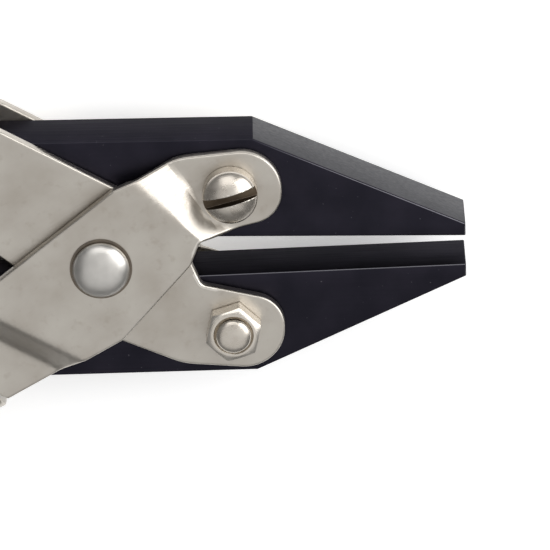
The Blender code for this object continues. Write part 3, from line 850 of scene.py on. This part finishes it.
def streaks(tree, place, angle, length, width, detail=3.0):
    """Brushed streaks: noise on coordinates turned by an angle and divided by a streak's two sizes."""
    turned = add_node(tree, "Mapping", {"Rotation": (0, 0, -angle)}, Vector=place)
    sized = add_node(
        tree, "Mapping", {"Scale": (1 / length, 1 / width, 1 / width)}, Vector=turned.outputs["Vector"]
    )
    return add_node(tree, "TexNoise", {"Scale": 1.0, "Detail": detail}, Vector=sized.outputs["Vector"])


def laid_over(tree, tone, source, low, high, share, colour):
    """A tone that gives way to a colour as a value goes from low to high, up to a share."""
    settings = {"From Min": low, "From Max": high, "To Max": share}
    amount = add_node(tree, "MapRange", settings, Value=source).outputs["Result"]
    return add_node(tree, "Mix", {"data_type": "RGBA", 7: linear(colour)}, _0=amount, _6=tone).outputs[2]


# %% [markdown]
# ## Satin nickel on pressed sheet
# Bright nickel over tumbled sheet is a warm grey mirror with a fine satin. Rolling leaves faint streaks
# along the sheet, handling leaves cloudy marks, and the edges are painted lighter, partly for rubbed plating
# and partly as a painted highlight. The streaks of real sheet are very fine, so they are drawn coarser here
# to be seen at all.

# %% Satin nickel
ARM_HEADING = math.radians(33)
GRAIN_LENGTH, GRAIN_WIDTH = 6 * MM, 0.22 * MM
HANDLING_MARK, STAIN_SPOT = 5 * MM, 1.1 * MM


def satin_nickel():
    """Cloudy warm grey with faint brown spots, and edges painted lighter, partly for rubbed plating and
    partly as a painted highlight; the grain moves its roughness.
    """
    material, tree, shader, place = metal_base("satin_nickel_sheet", 0.34)
    grain = streaks(tree, place, ARM_HEADING, GRAIN_LENGTH, GRAIN_WIDTH).outputs["Fac"]
    haze = add_node(tree, "TexNoise", {"Scale": 1 / HANDLING_MARK, "Detail": 3}, Vector=place).outputs["Fac"]
    stain = add_node(tree, "TexNoise", {"Scale": 1 / STAIN_SPOT, "Detail": 4}, Vector=place).outputs["Fac"]
    bend = add_node(tree, "Attribute", {"attribute_name": "bend"}).outputs["Fac"]
    stops = [(0.3, "#b7b0a6"), (0.5, "#c1bbb2"), (0.72, "#c9c4bb")]
    tone = add_node(tree, "ValToRGB", {"stops": stops}, Fac=haze).outputs["Color"]
    stained = laid_over(tree, tone, stain, 0.58, 0.78, 0.35, "#a2978a")
    # Lighter colour on bent edges: partly rubbed plating, partly a painted highlight.
    rubbed_and_sheen = laid_over(tree, stained, bend, LEAST_BEND, 0.12, 0.8, "#e6e1d8")
    satin = {"From Min": 0.3, "From Max": 0.7, "To Min": 0.28, "To Max": 0.42}
    rough = add_node(tree, "MapRange", satin, Value=grain).outputs["Result"]
    bump = add_node(tree, "Bump", {"Strength": 0.16, "Distance": 0.02 * MM}, Height=grain)
    tree.links.new(rubbed_and_sheen, shader.inputs["Base Color"])
    tree.links.new(rough, shader.inputs["Roughness"])
    tree.links.new(bump.outputs["Normal"], shader.inputs["Normal"])
    return material


nickel = satin_nickel()
print("made", nickel.name)

# %% [markdown]
# ## Nickel on turned parts
# The rivets and screws are plated steel too, but a tool turned them, so fine rings run round the axis. The
# rings read the distance from the axis that every mesh carries, and stay centred on each piece. The pins are
# hard ground steel: whiter, and closer to a mirror. Their edges are painted lighter, partly for rubbed
# plating and partly as a painted highlight. The screws' slots and the rivets' feet get a dark brown painted
# shade, standing in for the shade that falls in those recesses.

# %% Turned nickel
RING_PITCH = 0.16
TURNED_HAZE = 1.6 * MM


def turned_nickel(name, low, high, roughness, rub_and_sheen=0.7):
    """A hazy tone between two colours, with edges painted lighter (partly rubbed plating, partly painted
    highlight) and a sine of the reach as a bump.
    """
    material, tree, shader, place = metal_base(name, roughness)
    reach = add_node(tree, "Attribute", {"attribute_name": "reach"}).outputs["Fac"]
    bend = add_node(tree, "Attribute", {"attribute_name": "bend"}).outputs["Fac"]
    turns = add_node(tree, "Math", {"operation": "MULTIPLY", 1: 2 * math.pi / RING_PITCH}, _0=reach)
    rings = add_node(tree, "Math", {"operation": "SINE"}, _0=turns.outputs["Value"]).outputs["Value"]
    haze = add_node(tree, "TexNoise", {"Scale": 1 / TURNED_HAZE, "Detail": 3}, Vector=place).outputs["Fac"]
    tone = add_node(tree, "ValToRGB", {"stops": [(0.3, low), (0.7, high)]}, Fac=haze).outputs["Color"]
    # Lighter colour on bent edges: partly rubbed plating, partly a painted highlight.
    rubbed_and_sheen = laid_over(tree, tone, bend, LEAST_BEND, 0.1, rub_and_sheen, "#efe9df")
    dull = {"From Min": 0.3, "From Max": 0.7, "To Min": roughness - 0.05, "To Max": roughness + 0.08}
    rough = add_node(tree, "MapRange", dull, Value=haze).outputs["Result"]
    bump = add_node(tree, "Bump", {"Strength": 0.12, "Distance": 0.01 * MM}, Height=rings)
    tree.links.new(rubbed_and_sheen, shader.inputs["Base Color"])
    tree.links.new(rough, shader.inputs["Roughness"])
    tree.links.new(bump.outputs["Normal"], shader.inputs["Normal"])
    return material


rivet_nickel = turned_nickel("rivet_nickel", "#c9c6c1", "#d6d3ce", 0.34)
fastener_nickel = turned_nickel("fastener_nickel", "#c3bbb0", "#d6cfc5", 0.26)
pin_steel = turned_nickel("hardened_pin_steel", "#a9a9a8", "#bcbcbb", 0.22)
# Dark brown painted shade for the screws' slots and the rivets' feet, where shade falls in the recess.
slot_and_foot_painted_shade = turned_nickel("slot_and_foot_painted_shade_steel", "#4a3f34", "#6b5f50", 0.45, rub_and_sheen=0.1)
print("made", rivet_nickel.name, fastener_nickel.name, pin_steel.name, slot_and_foot_painted_shade.name)

# %% [markdown]
# ## Black oxide on milled steel
# Hot blacking turns the surface of steel into magnetite: blue black, slightly rough and still metallic.
# Mill marks show through it along the jaw, it wears to bare steel on the edges, and a few bright flecks are
# left by knocks. The sloped backs get a second, greyer and shinier copy of the same finish. That copy is
# painted light, for the light those faces catch.

# %% Black oxide
MILL_LENGTH, MILL_WIDTH = 9 * MM, 0.2 * MM
OXIDE_HAZE, KNOCK_SPOT = 4 * MM, 0.35 * MM


def black_oxide(name, dark, light, bare, roughness, glance):
    """Near black between two tones, with bare steel on its edges and in small knocks, over mill marks."""
    material, tree, shader, place = metal_base(name, roughness)
    shader.inputs["Specular Tint"].default_value = (glance, glance, glance, 1)
    marks = streaks(tree, place, 0, MILL_LENGTH, MILL_WIDTH).outputs["Fac"]
    haze = add_node(tree, "TexNoise", {"Scale": 1 / OXIDE_HAZE, "Detail": 3}, Vector=place).outputs["Fac"]
    fleck = add_node(tree, "TexNoise", {"Scale": 1 / KNOCK_SPOT, "Detail": 1}, Vector=place).outputs["Fac"]
    bend = add_node(tree, "Attribute", {"attribute_name": "bend"}).outputs["Fac"]
    tone = add_node(tree, "ValToRGB", {"stops": [(0.35, dark), (0.7, light)]}, Fac=haze).outputs["Color"]
    knocked = laid_over(tree, tone, fleck, 0.76, 0.82, 0.5, bare)
    worn = laid_over(tree, knocked, bend, LEAST_BEND, 0.12, 0.9, bare)
    dull = {"From Min": 0.3, "From Max": 0.7, "To Min": roughness - 0.06, "To Max": roughness + 0.08}
    rough = add_node(tree, "MapRange", dull, Value=marks).outputs["Result"]
    bump = add_node(tree, "Bump", {"Strength": 0.2, "Distance": 0.02 * MM}, Height=marks)
    tree.links.new(worn, shader.inputs["Base Color"])
    tree.links.new(rough, shader.inputs["Roughness"])
    tree.links.new(bump.outputs["Normal"], shader.inputs["Normal"])
    return material


jaw_black = black_oxide("black_oxide_steel", "#26252d", "#2d2b34", "#6d6c72", 0.42, 0.5)
# A lighter, shinier copy of the black oxide for the slope faces: painted light for the light those faces
# catch.
jaw_slope_painted_light = black_oxide("black_oxide_slope_painted_light", "#3d3d41", "#47474b", "#8a8a8c", 0.4, 0.9)
print("made", jaw_black.name, jaw_slope_painted_light.name)

# %% [markdown]
# ## Which face gets which finish
# Most pieces have one finish. Three kinds have a second one on a few faces, and those faces are found by
# where they are and how they face, so nothing has to be picked by hand: the jaws' slopes, painted lighter as
# painted light, and the screws' slots and the rivets' feet, painted dark as painted shade.

# %% Choose faces
SLOPE = math.atan2(SHOULDER[1] - TIP_HALF_GAP - TIP_HEIGHT, TIP_AHEAD - SHOULDER[0])
FACE_SLACK = 0.03 * MM


def slot_faces(mesh):
    """The faces inside a screw's slot: walls square to it, and a floor well below the crown."""
    normals = values_of(mesh.polygons, "normal", 3)
    level = values_of(mesh.polygons, "center", 3)[:, 2] - CENTRE[2]
    across = heading(SLOT_HEADING + QUARTER)
    deep = SCREW_HEAD_TOP - SLOT_DEPTH
    below = np.abs(level) < deep + FACE_SLACK
    above = np.abs(level) > deep - FACE_SLACK
    wall = np.abs(normals[:, 0] * across[0] + normals[:, 1] * across[1] * np.sign(level)) > 0.97
    return above & (wall | (below & (np.abs(normals[:, 2]) > 0.9)))


def seam_faces(mesh):
    """The faces of a rivet's foot, below its crown and outside its hole in the cheek."""
    centres = values_of(mesh.polygons, "center", 3) - CENTRE
    outside = np.linalg.norm(centres[:, :2], axis=1) > RIVET_CROWN_RADIUS - 2 * RIVET_FOOT
    return outside & (np.abs(centres[:, 2]) < HIGH_FACE + UNDER_HEAD + 3 * RIVET_FOOT)


def slope_faces(mesh, side):
    """The faces whose normal lies in plan and leans ahead by the angle of the jaw's slope."""
    ground = np.array([math.sin(SLOPE), side * math.cos(SLOPE), 0])
    return values_of(mesh.polygons, "normal", 3) @ ground > 0.999


def finish_faces(obj, material, other=None, chosen=None):
    """Puts a material on a piece, and another one on the chosen faces."""
    obj.data.materials.clear()
    obj.data.materials.append(material)
    if other:
        obj.data.materials.append(other)
        obj.data.polygons.foreach_set("material_index", chosen.astype(np.int32))


# %% Give every piece its finish
for letter in "ab":
    finish_faces(bpy.data.objects["pressed_handle_" + letter], nickel)
for name, side in (("milled_upper_jaw", 1), ("milled_lower_jaw", -1)):
    milled = bpy.data.objects[name]
    # The slope faces take the lighter copy, which is painted light.
    finish_faces(milled, jaw_black, jaw_slope_painted_light, slope_faces(milled.data, side))
finish = {"rivet_plating": rivet_nickel, "fastener_plating": fastener_nickel, "pin_steel": pin_steel}
for node, _, _, _, _, slot in fittings:
    turned = bpy.data.objects["turned_" + node]
    # Slots and rivet feet get the dark brown painted shade as their second finish.
    if node.endswith("screw"):
        finish_faces(turned, finish[slot], slot_and_foot_painted_shade, slot_faces(turned.data))
    elif slot == "rivet_plating":
        finish_faces(turned, finish[slot], slot_and_foot_painted_shade, seam_faces(turned.data))
    else:
        finish_faces(turned, finish[slot])
print("finished", len(fittings) + 4, "pieces")

# %% [markdown]
# ## Studio
# Metal shows what it reflects, so where the lights are matters more than how strong they are. The tool
# lies on a matt white light table. A wide soft box overhead gives the flat faces their even grey. One
# beyond the jaws' tips makes the front ramp flash, and one past the upper jaw lights that side of each
# crown. The lower jaw's side and the grip end are left dim, so that the rear ramp stays in shade.


# %% Floor and lights
FLOOR_HALF = 3.0


def matt_white_table():
    """Matt white acrylic, lit from below: it glows a little, so it looks white under a shadow too."""
    material, tree, shader, _ = metal_base("matt_white_table", 0.9, metallic=0.0)
    shader.inputs["Base Color"].default_value = linear("#f4f4f4")
    shader.inputs["Emission Color"].default_value = linear("#ffffff")
    shader.inputs["Emission Strength"].default_value = 0.38
    return material


def soft_box(name, towards, distance, size, radiance):
    """A square area lamp that faces the tool; its power is radiance times pi times its area."""
    lamp = bpy.data.lights.new(name, "AREA")
    lamp.size = size
    lamp.energy = radiance * math.pi * size**2
    obj = bpy.data.objects.new(name, lamp)
    bpy.context.scene.collection.objects.link(obj)
    away = Vector(towards).normalized()
    obj.location = Vector(CENTRE) + away * distance
    obj.rotation_mode = "QUATERNION"
    obj.rotation_quaternion = away.to_track_quat("Z", "Y")
    return obj


floor_points = np.array([(-1, -1, 0), (1, -1, 0), (1, 1, 0), (-1, 1, 0)]) * FLOOR_HALF
floor = bpy.data.meshes.new("light_table")
floor.from_pydata(floor_points, [], [(0, 1, 2, 3)])
floor.materials.append(matt_white_table())
table = piece_from("light_table", floor)

soft_box("overhead_box", (0.0, -0.3, 1.0), 1.0, 1.2, 0.56)
soft_box("ramp_box", (0.66, 0.28, 0.66), 1.1, 0.95, 3.1)
soft_box("back_box", (-0.1, 0.62, 0.78), 1.2, 0.8, 1.5)

world = bpy.data.worlds.new("dim_room")
world.use_nodes = True
world.node_tree.nodes["Background"].inputs["Color"].default_value = (1, 1, 1, 1)
world.node_tree.nodes["Background"].inputs["Strength"].default_value = 0.2
bpy.context.scene.world = world
bpy.context.scene.view_settings.view_transform = "Standard"
print("lamps:", [lamp.name for lamp in bpy.data.lights])

# %% [markdown]
# ## Camera
# A long lens from well back keeps the two cheeks in line. It looks at the head from above, leaning
# towards the upper jaw, so the back of that jaw and the grip face of the
# other show as narrow bands.

# %% Camera
VIEW_LEAN, VIEW_ROLL = math.radians(20), math.radians(1.4)
VIEW_POINT = Vector((18.93, -3.84, 0)) * MM
FRAME_WIDTH = 60.44 * MM
CAMERA_DISTANCE = 0.9

lens = bpy.data.cameras.new("long_lens")
camera = bpy.data.objects.new("long_lens", lens)
bpy.context.scene.collection.objects.link(camera)
towards_camera = Vector((0, math.sin(VIEW_LEAN), math.cos(VIEW_LEAN)))
up = Vector((0, math.cos(VIEW_LEAN), -math.sin(VIEW_LEAN)))
right = Vector((1, 0, 0))
image_right = math.cos(VIEW_ROLL) * right - math.sin(VIEW_ROLL) * up
image_up = math.sin(VIEW_ROLL) * right + math.cos(VIEW_ROLL) * up
camera.matrix_world = Matrix.Translation(
    Vector(CENTRE) + VIEW_POINT + towards_camera * CAMERA_DISTANCE
) @ Matrix((image_right, image_up, towards_camera)).transposed().to_4x4()
lens.sensor_width = 36.0
lens.lens = lens.sensor_width * CAMERA_DISTANCE / FRAME_WIDTH
lens.clip_end = 10.0
bpy.context.scene.camera = camera
print(f"the lens is {lens.lens:.0f} mm long")
